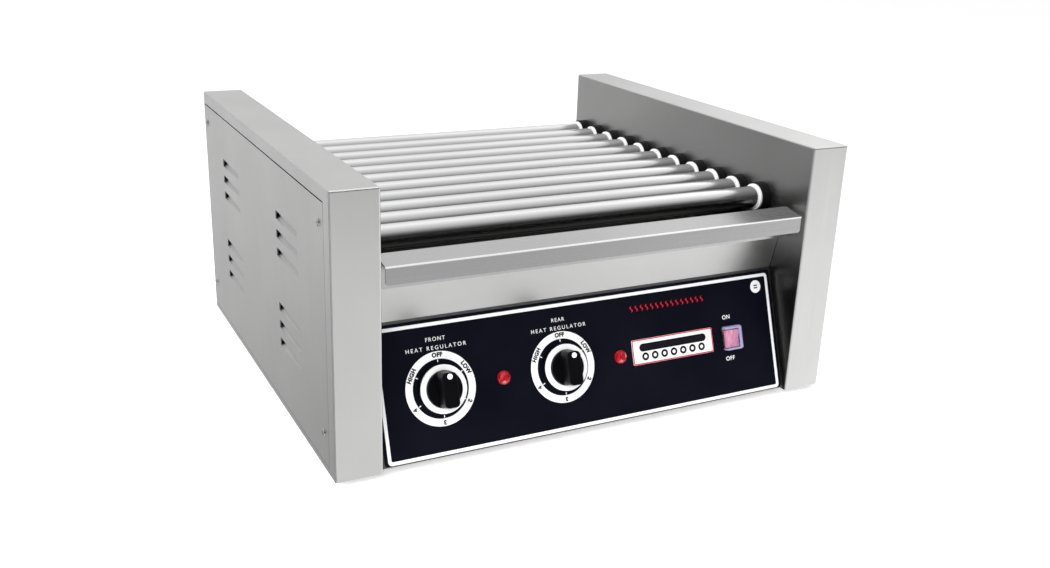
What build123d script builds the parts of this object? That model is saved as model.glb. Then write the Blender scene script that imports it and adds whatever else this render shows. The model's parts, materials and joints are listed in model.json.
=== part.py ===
from build123d import *
from math import acos, atan2, ceil, cos, degrees, hypot, pi, radians, sin
import os

# Hot dog roller grill with eleven rollers. Millimetres, +Z up.
# X runs along the rollers, Y from the control panel to the back.
# The origin is at the middle of the footprint, on the surface that the feet stand on.

# Overall sizes
WIDTH = 590.0
DEPTH = 518.0
HOUSING_HEIGHT = 287.0
HOUSING_WIDTH = 48.0
FOOT_HEIGHT = 6.0
SHEET = 1.2

FRONT = -DEPTH / 2
BACK = DEPTH / 2
OUTER = WIDTH / 2
INNER = OUTER - HOUSING_WIDTH
BOTTOM = FOOT_HEIGHT
TOP = BOTTOM + HOUSING_HEIGHT
BEND_RADIUS = 2.0

# Rollers: a row that drops slightly towards the back
ROLLER_COUNT = 11
ROLLER_RADIUS = 12.7
ROLLER_WALL = 1.0
ROLLER_LEFT_END = -INNER - 5.0
ROLLER_RIGHT_END = INNER + 20.0
CHAIN_PITCH = 6.35
ROLLER_PITCH = 6.5 * CHAIN_PITCH
ROW_FRONT_Y = FRONT + 77.2
ROW_FRONT_Z = BOTTOM + 214.65
ROW_SLOPE = radians(-0.945)
RUNNING_GAP = 0.1

# Bearing caps and seal rings at the inner walls
CAP_RADIUS = 16.6
CAP_LENGTH = 11.9
CAP_SLEEVE_RADIUS = 15.0
RING_RADIUS = 15.1
RING_LENGTH = 2.3

# Heating elements
ELEMENT_RADIUS = 4.0
FRONT_ELEMENT_COUNT = 6
ELEMENT_BRACKET_LEFT = -INNER - 15.0
ELEMENT_BRACKET_RIGHT = INNER + 25.0

# Chain drive in the right-hand housing
CHAIN_X = INNER + 10.0
ROLLER_TEETH = 16
SMALL_TEETH = 12
TOOTH_THICKNESS = 2.8
SEAT_RADIUS = 1.9
LINK_ROLLER_RADIUS = 1.65
LINK_PIN_RADIUS = 1.15
LINK_HALF_HEIGHT = 2.6
LINK_PLATE = 0.75
INNER_PLATE_X = 1.6
OUTER_PLATE_X = 2.45
MOTOR_Y = -20.0
MOTOR_Z = 112.0
IDLER_Y = 110.0
MOTOR_SHAFT_RADIUS = 5.0
IDLER_PIN_RADIUS = 4.0

# Control panel: leans back from its bottom edge
PANEL_Y = FRONT + 3.0
PANEL_Z = BOTTOM + 3.0
PANEL_LENGTH = 141.7
PANEL_LEAN = radians(19.67)
UPPER_LEAN = radians(13.6)
FASCIA_TOP = BOTTOM + 178.5
OVERLAY = 0.5
OVERLAY_HALF_WIDTH = 244.0
CONTROL_S = 68.0
KNOB_X = (-176.5, -37.5)
LAMP_X = (-107.2, 32.8)
SWITCH_X = 179.4
BADGE_X = 101.8
BADGE_S = 69.3
KNOB_HEIGHT = 28.5
KNOB_RADIUS = 25.0
KNOB_RING_OUTER = 24.6
KNOB_RING_INNER = 18.8
GRIP_LENGTH = 37.0
GRIP_WIDTH = 17.5
SHAFT_RADIUS = 3.0
SWITCH_SIZE = (23.5, 28.0)
ROCKER_TILT = 10.0

# Drip tray and the deck that it slides on
DECK_TOP = BOTTOM + 179.2
TRAY_BOTTOM = BOTTOM + 179.5
TRAY_HALF_WIDTH = 242.5
TRAY_WALL_TOP = BOTTOM + 189.0
TRAY_BACK = BACK - 15.0
LIP_Y = FRONT + 2.4
LIP_BOTTOM = BOTTOM + 192.0
LIP_TOP = BOTTOM + 210.0
LEDGE_Y = FRONT + 29.0
LEDGE_Z = BOTTOM + 215.0

# Side panels
FRAME_FRONT = 18.0
FRAME_BACK = 6.0
FRAME_BOTTOM = 6.0
FRAME_TOP = 14.0
SEAT_WIDTH = 22.0
PANEL_GAP = 0.6
PANEL_TOP_GAP = 1.4
SCREW_Y = (FRONT + 33.0, BACK - 16.0)
SCREW_Z = (BOTTOM + 39.0, BOTTOM + 250.0)
LOUVRE_LENGTH = 78.0
LOUVRE_HEIGHT = 9.0
LOUVRE_DEPTH = 3.8
LOUVRE_END_DEPTH = 1.2
LOUVRE_RADIUS = ((LOUVRE_HEIGHT / 2) ** 2 + LOUVRE_DEPTH ** 2) / (2 * LOUVRE_DEPTH)
LOUVRE_ROWS = (76.5, 96.5, 116.5, 177.0, 197.0, 217.0)
LOUVRE_BACK_ENDS = (FRONT + 184.0, FRONT + 423.0)

# Back panel, cord gland and feet
BACK_PANEL_Y = BACK - 10.0
BACK_PANEL_TOP = BOTTOM + 200.0
GLAND_X = 150.0
GLAND_Z = BOTTOM + 39.0
GLAND_BORE = 4.5
GLAND_INSIDE = 12.0
FOOT_X = OUTER - HOUSING_WIDTH / 2
FOOT_Y = 215.0
FOOT_RADIUS = 12.0

parts = {}


# ---------------------------------------------------------------- helpers

def block(low, high):
    size = [b - a for a, b in zip(low, high)]
    centre = [(a + b) / 2 for a, b in zip(low, high)]
    return Pos(*centre) * Box(*size)


def rod(x_low, x_high, y, z, radius):
    return Pos((x_low + x_high) / 2, y, z) * Rot(0, 90, 0) * Cylinder(radius, x_high - x_low)


def pipe(x_low, x_high, y, z, radius, bore):
    return rod(x_low, x_high, y, z, radius) - rod(x_low - 1, x_high + 1, y, z, bore)


def slab(sketch, x_low, x_high):
    """A (Y, Z) sketch made solid between two X planes."""
    return extrude(Plane.YZ.offset(x_low) * sketch, amount=x_high - x_low)


def folded_sheet(points, thickness=SHEET):
    """A bent sheet's (Y, Z) section: the given face, with the metal to the left of its path."""
    normals = []
    for (y0, z0), (y1, z1) in zip(points, points[1:]):
        length = hypot(y1 - y0, z1 - z0)
        normals.append((-(z1 - z0) / length, (y1 - y0) / length))
    inner = []
    for i, (y, z) in enumerate(points):
        before = normals[max(i - 1, 0)]
        after = normals[min(i, len(normals) - 1)]
        share = 1 + before[0] * after[0] + before[1] * after[1]
        inner.append((
            y + thickness * (before[0] + after[0]) / share,
            z + thickness * (before[1] + after[1]) / share,
        ))
    return make_face(Polyline(*points, *reversed(inner), close=True))


def save(name, *shapes):
    solids = [solid for shape in shapes for solid in shape.solids()]
    whole = solids[0] if len(solids) == 1 else Compound(solids)
    export_step(whole, f"parts/{name}.step")
    parts[name] = whole


def roller_centre(index):
    along = index * ROLLER_PITCH
    return ROW_FRONT_Y + along * cos(ROW_SLOPE), ROW_FRONT_Z + along * sin(ROW_SLOPE)


def row_point(along, above):
    """A (Y, Z) point in the row's own frame: along the row, and square to it."""
    y = ROW_FRONT_Y + along * cos(ROW_SLOPE) - above * sin(ROW_SLOPE)
    z = ROW_FRONT_Z + along * sin(ROW_SLOPE) + above * cos(ROW_SLOPE)
    return y, z


PANEL = Plane(
    origin=(0, PANEL_Y, PANEL_Z),
    x_dir=(1, 0, 0),
    z_dir=(0, -cos(PANEL_LEAN), sin(PANEL_LEAN)),
)


def on_panel(shape, x, s, height=0.0):
    """Place a shape on the control panel: across, up the slope, and out from its face."""
    return PANEL.location * Pos(x, s, height) * shape


def panel_cylinder(radius, low, high):
    return Pos(0, 0, (low + high) / 2) * Cylinder(radius, high - low)


def panel_ring(radius, bore, low, high):
    return panel_cylinder(radius, low, high) - panel_cylinder(bore, low - 1, high + 1)


def panel_box(width, length, low, high):
    return Pos(0, 0, (low + high) / 2) * Box(width, length, high - low)


# ---------------------------------------------------------------- housings and side panels

WINDOW_FRONT = FRONT + FRAME_FRONT
WINDOW_BACK = BACK - FRAME_BACK
WINDOW_BOTTOM = BOTTOM + FRAME_BOTTOM
WINDOW_TOP = TOP - FRAME_TOP


def panel_seat():
    """The sheet behind the side panel's front, back and bottom edges; its top edge has none."""
    low_x = OUTER - 2 * SHEET
    high_x = OUTER - SHEET
    seat = block((low_x, FRONT + SHEET, BOTTOM + SHEET), (high_x, BACK - SHEET, TOP - SHEET))
    seat -= block(
        (low_x - 1, WINDOW_FRONT + SEAT_WIDTH, WINDOW_BOTTOM + SEAT_WIDTH),
        (OUTER, WINDOW_BACK - SEAT_WIDTH, TOP),
    )
    return seat - block((low_x - 1, WINDOW_FRONT, WINDOW_TOP - 4), (OUTER, WINDOW_BACK, TOP))


def housing():
    """The right-hand housing: a folded box whose outer side is a frame for the side panel."""
    shell = block((INNER, FRONT, BOTTOM), (OUTER, BACK, TOP))
    upper_edges = [edge for edge in shell.edges() if edge.center().Z > BOTTOM + 1]
    shell = fillet(upper_edges, BEND_RADIUS)
    shell -= block(
        (INNER + SHEET, FRONT + SHEET, BOTTOM + SHEET),
        (OUTER - SHEET, BACK - SHEET, TOP - SHEET),
    )
    shell -= block(
        (OUTER - SHEET - 1, WINDOW_FRONT, WINDOW_BOTTOM),
        (OUTER + 1, WINDOW_BACK, WINDOW_TOP),
    )
    shell += panel_seat()
    for index in range(ROLLER_COUNT):
        y, z = roller_centre(index)
        shell -= rod(INNER - 1, INNER + SHEET + 1, y, z, CAP_SLEEVE_RADIUS + RUNNING_GAP)
    for y in SCREW_Y:
        for z in SCREW_Z:
            shell -= rod(OUTER - 3 * SHEET, OUTER, y, z, 2.0 + RUNNING_GAP)
    return shell


def louvre_groove(y_back, z, radius, x_limit):
    """A round scoop pressed inward: deepest at its open back end, shallow at its round front end."""
    lean = degrees(atan2(LOUVRE_DEPTH - LOUVRE_END_DEPTH, LOUVRE_LENGTH))
    run = LOUVRE_LENGTH - LOUVRE_HEIGHT / 3
    start = Pos(OUTER - LOUVRE_DEPTH + LOUVRE_RADIUS, y_back, z) * Rot(0, 0, lean) * Rot(90, 0, 0)
    scoop = start * (Pos(0, 0, run / 2 - 1) * Cylinder(radius, run + 2) + Pos(0, 0, run) * Sphere(radius))
    reach = LOUVRE_HEIGHT
    return scoop & block(
        (OUTER - reach, y_back - 1.5 * LOUVRE_LENGTH, z - reach),
        (x_limit, y_back, z + reach),
    )


def side_panel():
    """The right-hand side panel: flush in its frame, with four groups of three louvres."""
    panel = block(
        (OUTER - SHEET, WINDOW_FRONT + PANEL_GAP, WINDOW_BOTTOM + PANEL_GAP),
        (OUTER, WINDOW_BACK - PANEL_GAP, WINDOW_TOP - PANEL_TOP_GAP),
    )
    places = [(y_back, BOTTOM + row) for y_back in LOUVRE_BACK_ENDS for row in LOUVRE_ROWS]
    for y_back, z in places:
        panel += louvre_groove(y_back, z, LOUVRE_RADIUS + SHEET, OUTER)
    for y_back, z in places:
        panel -= louvre_groove(y_back, z, LOUVRE_RADIUS, OUTER + 1)
    for y in SCREW_Y:
        for z in SCREW_Z:
            panel -= rod(OUTER - SHEET - 1, OUTER + 1, y, z, 2.0 + RUNNING_GAP)
    return panel


def casing_screws():
    """Pan-head screws that hold the side panels, four a side."""
    head_height = 1.8
    screws = []
    for y in SCREW_Y:
        for z in SCREW_Z:
            head = rod(OUTER, OUTER + head_height, y, z, 4.0)
            head = fillet(head.edges().group_by(Axis.X)[-1], 1.2)
            cross = block((OUTER + 0.9, y - 2.2, z - 0.4), (OUTER + 3, y + 2.2, z + 0.4))
            cross += block((OUTER + 0.9, y - 0.4, z - 2.2), (OUTER + 3, y + 0.4, z + 2.2))
            screw = head - cross + rod(OUTER - 8, OUTER, y, z, 2.0)
            screws += [screw, mirror(screw, about=Plane.YZ)]
    return screws


def build_casing():
    right = housing()
    left = mirror(right, about=Plane.YZ)
    right -= rod(INNER - 1, INNER + SHEET + 1, MOTOR_Y, MOTOR_Z, MOTOR_SHAFT_RADIUS + 3)
    save("right_housing", right)
    save("left_housing", left)
    panel = side_panel()
    save("right_side_panel", panel)
    save("left_side_panel", mirror(panel, about=Plane.YZ))
    save("casing_screws", *casing_screws())


def rubber_feet():
    feet = []
    for x in (-FOOT_X, FOOT_X):
        for y in (-FOOT_Y, FOOT_Y):
            foot = Pos(x, y, FOOT_HEIGHT / 2) * Cylinder(FOOT_RADIUS, FOOT_HEIGHT)
            feet.append(fillet(foot.edges().group_by(Axis.Z)[0], 1.0))
    return feet


# ---------------------------------------------------------------- middle section

def base_pan():
    flange = 20.0
    low_y = PANEL_Y + 14
    pan = block((-INNER, low_y, BOTTOM), (INNER, BACK_PANEL_Y, BOTTOM + SHEET))
    for x in (-INNER, INNER - SHEET):
        pan += block((x, low_y, BOTTOM), (x + SHEET, BACK_PANEL_Y, BOTTOM + flange))
    pan += block((-INNER, BACK_PANEL_Y - SHEET, BOTTOM), (INNER, BACK_PANEL_Y, BOTTOM + flange))
    return pan


def back_panel():
    """The panel behind the rollers, with its cord hole and a field of vent slots."""
    panel = block((-INNER, BACK_PANEL_Y, BOTTOM), (INNER, BACK_PANEL_Y + SHEET, BACK_PANEL_TOP))
    slot = Rot(90, 0, 0) * extrude(SlotOverall(60, 5), amount=6, both=True)
    for column in range(5):
        for row in range(4):
            place = Pos(-160 + 80 * column, BACK_PANEL_Y, BOTTOM + 90 + 16 * row)
            panel -= place * slot
    hole = Pos(GLAND_X, BACK_PANEL_Y, GLAND_Z) * Rot(90, 0, 0) * Cylinder(8.0, 20)
    return panel - hole


def cord_gland():
    """The strain relief bush for the mains lead, clamped in the back panel.

    It stands out behind the housings as far as the knobs stand out in front of them.
    """
    middle_y = BACK_PANEL_Y + SHEET / 2
    knob_reach = -knob(KNOB_X[0])[0].bounding_box().min.Y
    outside = knob_reach - middle_y
    print("gland length:", round(outside + GLAND_INSIDE, 3), "knob reach:", round(knob_reach, 3))
    body = Pos(0, 0, (outside - GLAND_INSIDE) / 2) * Cylinder(7.9, outside + GLAND_INSIDE)
    body += Pos(0, 0, 5.2) * Cylinder(12.0, 8)
    body += Pos(0, 0, -6) * extrude(RegularPolygon(11.0, 6), amount=5)
    body = fillet(body.edges().group_by(Axis.Z)[-1], 0.8)
    body -= Cylinder(GLAND_BORE, 60)
    body -= Cylinder(13, SHEET) - Cylinder(7.9, SHEET)
    return Pos(GLAND_X, middle_y, GLAND_Z) * Rot(-90, 0, 0) * body


def tray_deck():
    """The shelf under the drip tray, flanged down at its ends."""
    drop = 14.0
    front = FRONT + 53.5
    deck = block((-INNER, front, DECK_TOP - SHEET), (INNER, BACK_PANEL_Y, DECK_TOP))
    for x in (-INNER, INNER - SHEET):
        deck += block((x, front, DECK_TOP - drop), (x + SHEET, BACK_PANEL_Y, DECK_TOP))
    deck += block((-INNER, front, DECK_TOP - drop), (INNER, front + SHEET, DECK_TOP))
    return deck


def fascia_points():
    knee_y = PANEL_Y + PANEL_LENGTH * sin(PANEL_LEAN)
    knee_z = PANEL_Z + PANEL_LENGTH * cos(PANEL_LEAN)
    top_y = knee_y - (FASCIA_TOP - knee_z) * sin(UPPER_LEAN) / cos(UPPER_LEAN)
    return [
        (top_y + 12, FASCIA_TOP),
        (top_y, FASCIA_TOP),
        (knee_y, knee_z),
        (PANEL_Y, PANEL_Z),
        (PANEL_Y + 13, PANEL_Z),
    ]


def control_cutters():
    """Holes through the control panel for the regulators, lamps and switch."""
    cutters = []
    for x in KNOB_X:
        cutters.append(on_panel(panel_cylinder(5.2, -4, 4), x, CONTROL_S))
    for x in LAMP_X:
        cutters.append(on_panel(panel_cylinder(5.0, -4, 4), x, CONTROL_S))
    cutters.append(on_panel(panel_box(22.0, 25.6, -4, 4), SWITCH_X, CONTROL_S))
    return cutters


def front_fascia():
    """The folded stainless front: the sloping control panel and the short face above it."""
    half_width = INNER - 0.5
    fascia = slab(folded_sheet(fascia_points()), -half_width, half_width)
    for cutter in control_cutters():
        fascia -= cutter
    return fascia


def control_overlay():
    low_s = 1.0
    high_s = 138.6
    sheet = extrude(RectangleRounded(2 * OVERLAY_HALF_WIDTH, high_s - low_s, 3.0), amount=OVERLAY)
    overlay = on_panel(sheet, 0, (low_s + high_s) / 2)
    for cutter in control_cutters():
        overlay -= cutter
    return overlay


def drip_tray():
    """One folded tray: pull lip, sloping ledge, front wall, floor and low walls."""
    path = [
        (TRAY_BACK - SHEET, TRAY_WALL_TOP),
        (TRAY_BACK - SHEET, TRAY_BOTTOM + SHEET),
        (LEDGE_Y, TRAY_BOTTOM + SHEET),
        (LEDGE_Y, LEDGE_Z),
        (LIP_Y, LIP_TOP),
        (LIP_Y, LIP_BOTTOM),
    ]
    tray = slab(folded_sheet(path), -TRAY_HALF_WIDTH, TRAY_HALF_WIDTH)
    for x in (-TRAY_HALF_WIDTH, TRAY_HALF_WIDTH - SHEET):
        tray += block((x, LEDGE_Y, TRAY_BOTTOM), (x + SHEET, TRAY_BACK, TRAY_WALL_TOP))
    corners = [
        edge for edge in tray.edges().filter_by(Axis.Y)
        if edge.center().Z < LIP_BOTTOM + 1 and edge.center().Y < LIP_Y + 2 * SHEET
    ]
    return fillet(corners, 3.0)


def terminal_block():
    block_body = block((90, 150, BOTTOM + SHEET), (154, 172, BOTTOM + SHEET + 16))
    for index in range(6):
        place = Pos(97 + 10 * index, 161, BOTTOM + SHEET + 16)
        block_body -= place * Cylinder(3.0, 10)
    return block_body


def build_middle():
    save("base_pan", base_pan())
    save("rear_panel", back_panel())
    save("cord_gland", cord_gland())
    save("tray_deck", tray_deck())
    save("front_fascia", front_fascia())
    save("control_overlay", control_overlay())
    save("drip_tray", drip_tray())
    save("terminal_block", terminal_block())
    save("rubber_feet", *rubber_feet())


# ---------------------------------------------------------------- rollers, bearings and elements

def bearing_cap(index, side):
    """A flanged bush: the cap stands on the inner wall and its sleeve goes through it."""
    y, z = roller_centre(index)
    cap = rod(INNER - CAP_LENGTH, INNER, y, z, CAP_RADIUS)
    cap += rod(INNER - 1, INNER + 4.0, y, z, CAP_SLEEVE_RADIUS)
    cap -= rod(0, OUTER, y, z, ROLLER_RADIUS + RUNNING_GAP)
    return cap if side > 0 else mirror(cap, about=Plane.YZ)


def seal_ring(index, side):
    y, z = roller_centre(index)
    face = INNER - CAP_LENGTH
    ring = pipe(face - RING_LENGTH, face, y, z, RING_RADIUS, ROLLER_RADIUS + RUNNING_GAP)
    return ring if side > 0 else mirror(ring, about=Plane.YZ)


def heating_element(index):
    """A straight sheathed element with a ceramic collar and a terminal pin at each end."""
    y, z = roller_centre(index)
    low = ELEMENT_BRACKET_LEFT - 4
    high = ELEMENT_BRACKET_RIGHT + 4
    element = rod(low, high, y, z, ELEMENT_RADIUS)
    for end, way in ((low, -1), (high, 1)):
        collar = sorted((end, end + 5 * way))
        pin = sorted((end, end + 12 * way))
        element += rod(*collar, y, z, ELEMENT_RADIUS + 1.5)
        element += rod(*pin, y, z, 1.5)
    return element


def element_bracket(x, towards):
    """A drilled strip that carries one end of every element, footed on the housing's end walls."""
    front = FRONT + SHEET
    back = BACK - SHEET
    middle = row_point(5 * ROLLER_PITCH, 0)[1]
    strip = block((x - SHEET / 2, front, middle - 12), (x + SHEET / 2, back, middle + 12))
    foot_x = sorted((x - towards * SHEET / 2, x + towards * 9))
    for y in (front, back - SHEET):
        strip += block((foot_x[0], y, middle - 12), (foot_x[1], y + SHEET, middle + 12))
    for index in range(ROLLER_COUNT):
        y, z = roller_centre(index)
        strip -= rod(x - 5, x + 5, y, z, ELEMENT_RADIUS + RUNNING_GAP)
    return strip


def build_rollers():
    for index in range(ROLLER_COUNT):
        y, z = roller_centre(index)
        bore = ROLLER_RADIUS - ROLLER_WALL
        tube = pipe(ROLLER_LEFT_END, ROLLER_RIGHT_END, y, z, ROLLER_RADIUS, bore)
        save(f"roller_{index + 1:02d}", tube)
    everyone = range(ROLLER_COUNT)
    save("bearing_caps", *[bearing_cap(index, side) for side in (-1, 1) for index in everyone])
    save("seal_rings", *[seal_ring(index, side) for side in (-1, 1) for index in everyone])
    elements = [heating_element(index) for index in everyone]
    save("front_heating_elements", *elements[:FRONT_ELEMENT_COUNT])
    save("rear_heating_elements", *elements[FRONT_ELEMENT_COUNT:])
    save(
        "element_brackets",
        element_bracket(ELEMENT_BRACKET_LEFT, -1),
        element_bracket(ELEMENT_BRACKET_RIGHT, 1),
    )


# ---------------------------------------------------------------- chain drive

def pitch_radius(teeth):
    return CHAIN_PITCH / (2 * sin(pi / teeth))


def sprocket_plate(teeth, gap_angle):
    """A sprocket's (Y, Z) outline about the origin, with one tooth gap at gap_angle in radians."""
    radius = pitch_radius(teeth)
    outline = Circle(radius + 1.35)
    gap = Circle(SEAT_RADIUS)
    gap += make_face(Polyline(
        (-0.2, -SEAT_RADIUS),
        (3.0, -SEAT_RADIUS - 0.95),
        (3.0, SEAT_RADIUS + 0.95),
        (-0.2, SEAT_RADIUS),
        close=True,
    ))
    for tooth in range(teeth):
        turn = degrees(gap_angle) + tooth * 360 / teeth
        outline -= Rot(0, 0, turn) * Pos(radius, 0, 0) * gap
    return outline


def roller_sprocket(index):
    """A stamped sprocket with a thin drawn collar, fixed to the end of a roller."""
    y, z = roller_centre(index)
    half_steps = round(index * ROLLER_PITCH / CHAIN_PITCH * 2)
    shift = pi / ROLLER_TEETH if half_steps % 2 else 0.0
    plate = Pos(y, z, 0) * sprocket_plate(ROLLER_TEETH, pi / 2 + ROW_SLOPE + shift)
    sprocket = slab(plate, CHAIN_X - TOOTH_THICKNESS / 2, CHAIN_X + TOOTH_THICKNESS / 2)
    sprocket += rod(INNER + 5.5, CHAIN_X, y, z, ROLLER_RADIUS + 0.5)
    return sprocket - rod(INNER, OUTER, y, z, ROLLER_RADIUS + 0.03)


def on_circle(centre, radius, angle):
    return centre[0] + radius * cos(angle), centre[1] + radius * sin(angle)


def outer_tangent(centre_a, radius_a, centre_b, radius_b):
    """The angle and length of the tangent that leaves both circles on the right of its way."""
    dy = centre_b[0] - centre_a[0]
    dz = centre_b[1] - centre_a[1]
    distance = hypot(dy, dz)
    lean = acos((radius_a - radius_b) / distance)
    angle = atan2(dz, dy) + lean
    return angle, distance * sin(lean)


def chain_loop(idler_z):
    """The loop's pieces in order: runs and arcs, with their lengths along the chain."""
    wheels = [
        (roller_centre(0), ROLLER_TEETH),
        (roller_centre(ROLLER_COUNT - 1), ROLLER_TEETH),
        ((IDLER_Y, idler_z), SMALL_TEETH),
        ((MOTOR_Y, MOTOR_Z), SMALL_TEETH),
    ]
    followers = wheels[1:] + wheels[:1]
    tangents = []
    for (centre, teeth), (next_centre, next_teeth) in zip(wheels, followers):
        tangents.append(outer_tangent(centre, pitch_radius(teeth), next_centre, pitch_radius(next_teeth)))
    pieces = []
    for step, (centre, teeth) in enumerate(wheels):
        angle, run = tangents[step]
        next_centre, next_teeth = followers[step]
        next_angle = tangents[(step + 1) % len(wheels)][0]
        sweep = (angle - next_angle) % (2 * pi)
        start = on_circle(centre, pitch_radius(teeth), angle)
        pieces.append(("run", start, angle - pi / 2, run))
        arc_length = next_teeth * CHAIN_PITCH * sweep / (2 * pi)
        pieces.append(("arc", next_centre, angle, arc_length, next_teeth))
    return pieces


def loop_length(idler_z):
    return sum(piece[3] for piece in chain_loop(idler_z))


def fitted_idler_z():
    """Lower the idler until the loop holds a whole, even number of links."""
    high = MOTOR_Z + 18.0
    low = MOTOR_Z - 22.0
    links = 2 * ceil(loop_length(high) / CHAIN_PITCH / 2)
    for _ in range(60):
        middle = (low + high) / 2
        if loop_length(middle) > links * CHAIN_PITCH:
            low = middle
        else:
            high = middle
    return (low + high) / 2, links


def loop_point(pieces, distance):
    """The (Y, Z) place of a pin at a distance along the loop."""
    for piece in pieces:
        if distance <= piece[3] + 1e-6:
            break
        distance -= piece[3]
    if piece[0] == "run":
        _, start, heading, _ = piece
        return start[0] + distance * cos(heading), start[1] + distance * sin(heading)
    _, centre, angle, _, teeth = piece
    angle -= distance / (teeth * CHAIN_PITCH) * 2 * pi
    return on_circle(centre, pitch_radius(teeth), angle)


def gap_angle_on(pieces, centre):
    """The angle of a tooth gap on the wheel at centre, taken from the first pin on its arc."""
    travelled = 0.0
    for piece in pieces:
        if piece[0] == "arc" and piece[1] == centre:
            first_pin = ceil(travelled / CHAIN_PITCH - 1e-9) * CHAIN_PITCH
            return piece[2] - (first_pin - travelled) / (piece[4] * CHAIN_PITCH) * 2 * pi
        travelled += piece[3]


def link(pin_a, pin_b, outer):
    """One link: two plates joined by pins on an outer link, or by rollers on an inner one."""
    turn = degrees(atan2(pin_b[1] - pin_a[1], pin_b[0] - pin_a[0]))
    middle = ((pin_a[0] + pin_b[0]) / 2, (pin_a[1] + pin_b[1]) / 2)
    plate = Pos(*middle, 0) * Rot(0, 0, turn) * SlotCenterToCenter(CHAIN_PITCH, 2 * LINK_HALF_HEIGHT)
    inside = OUTER_PLATE_X if outer else INNER_PLATE_X
    shape = slab(plate, CHAIN_X + inside, CHAIN_X + inside + LINK_PLATE)
    shape += slab(plate, CHAIN_X - inside - LINK_PLATE, CHAIN_X - inside)
    for y, z in (pin_a, pin_b):
        if outer:
            shape += rod(CHAIN_X - 3.6, CHAIN_X + 3.6, y, z, LINK_PIN_RADIUS)
        else:
            reach = inside + LINK_PLATE
            shape += rod(CHAIN_X - inside, CHAIN_X + inside, y, z, LINK_ROLLER_RADIUS)
            shape -= rod(CHAIN_X - reach - 1, CHAIN_X + reach + 1, y, z, LINK_PIN_RADIUS + 0.08)
    return shape


def drive_chain(pieces, links):
    pins = [loop_point(pieces, step * CHAIN_PITCH) for step in range(links)]
    return [link(pins[step], pins[(step + 1) % links], step % 2 == 1) for step in range(links)]


def small_sprocket(centre, gap_angle, hub_low, hub_high):
    plate = Pos(*centre, 0) * sprocket_plate(SMALL_TEETH, gap_angle)
    wheel = slab(plate, CHAIN_X - TOOTH_THICKNESS / 2, CHAIN_X + TOOTH_THICKNESS / 2)
    return wheel + rod(hub_low, hub_high, *centre, 8.4)


def chain_guide_rail():
    """A wear strip held just above the chain's top run, on two tabs from the inner wall."""
    low = pitch_radius(ROLLER_TEETH) + LINK_HALF_HEIGHT + 0.3
    rail_points = [row_point(along, above) for along, above in
                   ((4, low), (10 * ROLLER_PITCH - 4, low), (10 * ROLLER_PITCH - 4, low + 6), (4, low + 6))]
    rail = slab(make_face(Polyline(*rail_points, close=True)), CHAIN_X - 3.2, CHAIN_X + 3.2)
    for along in (2.5 * ROLLER_PITCH, 7.5 * ROLLER_PITCH):
        y, z = row_point(along, low + 4)
        rail += block((INNER + SHEET, y - 8, z - 1.5), (CHAIN_X, y + 8, z + 1.5))
    return rail


def drive_motor():
    motor = rod(INNER - 104, INNER - 44, MOTOR_Y, MOTOR_Z, 29)
    motor += rod(INNER - 110, INNER - 104, MOTOR_Y, MOTOR_Z, 12)
    for turn in range(0, 360, 30):
        fin = Rot(turn, 0, 0) * block((-20, 28, -1.5), (20, 31, 1.5))
        motor += Pos(INNER - 74, MOTOR_Y, MOTOR_Z) * fin
    return motor


def gearbox():
    case = block((INNER - 44, MOTOR_Y - 32, MOTOR_Z - 42), (INNER - 2, MOTOR_Y + 32, MOTOR_Z + 42))
    case = fillet(case.edges().filter_by(Axis.X), 8)
    return case - rod(INNER - 20, INNER, MOTOR_Y, MOTOR_Z, MOTOR_SHAFT_RADIUS + RUNNING_GAP)


def motor_bracket():
    plate = block((INNER - 2, MOTOR_Y - 45, MOTOR_Z - 52), (INNER, MOTOR_Y + 45, MOTOR_Z + 52))
    return plate - rod(INNER - 3, INNER + 1, MOTOR_Y, MOTOR_Z, MOTOR_SHAFT_RADIUS + 3)


def idler_bracket(centre):
    """A plate and pin that carry the idler off the housing's inner wall."""
    wall = INNER + SHEET
    plate = block((wall, centre[0] - 14, centre[1] - 20), (wall + 2, centre[0] + 14, centre[1] + 20))
    pin = rod(wall, CHAIN_X + 6, *centre, IDLER_PIN_RADIUS)
    return plate + pin + rod(CHAIN_X + 4.6, CHAIN_X + 6, *centre, IDLER_PIN_RADIUS + 2)


def build_drive():
    for index in range(ROLLER_COUNT):
        save(f"roller_sprocket_{index + 1:02d}", roller_sprocket(index))
    idler_z, links = fitted_idler_z()
    pieces = chain_loop(idler_z)
    save("drive_chain", *drive_chain(pieces, links))
    save("chain_guide_rail", chain_guide_rail())
    motor_centre = (MOTOR_Y, MOTOR_Z)
    motor_wheel = small_sprocket(motor_centre, gap_angle_on(pieces, motor_centre), INNER + 4, CHAIN_X)
    motor_wheel += rod(INNER - 16, CHAIN_X + 6, *motor_centre, MOTOR_SHAFT_RADIUS)
    save("motor_sprocket", motor_wheel)
    idler_centre = (IDLER_Y, idler_z)
    idler = small_sprocket(idler_centre, gap_angle_on(pieces, idler_centre), INNER + 4, CHAIN_X + 4)
    idler -= rod(INNER, OUTER, *idler_centre, IDLER_PIN_RADIUS + RUNNING_GAP / 2)
    save("idler_sprocket", idler)
    save("idler_bracket", idler_bracket(idler_centre))
    save("drive_motor", drive_motor())
    save("motor_gearbox", gearbox())
    save("motor_bracket", motor_bracket())
    print("chain links:", links, "idler height:", round(idler_z, 2))


# ---------------------------------------------------------------- controls

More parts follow.
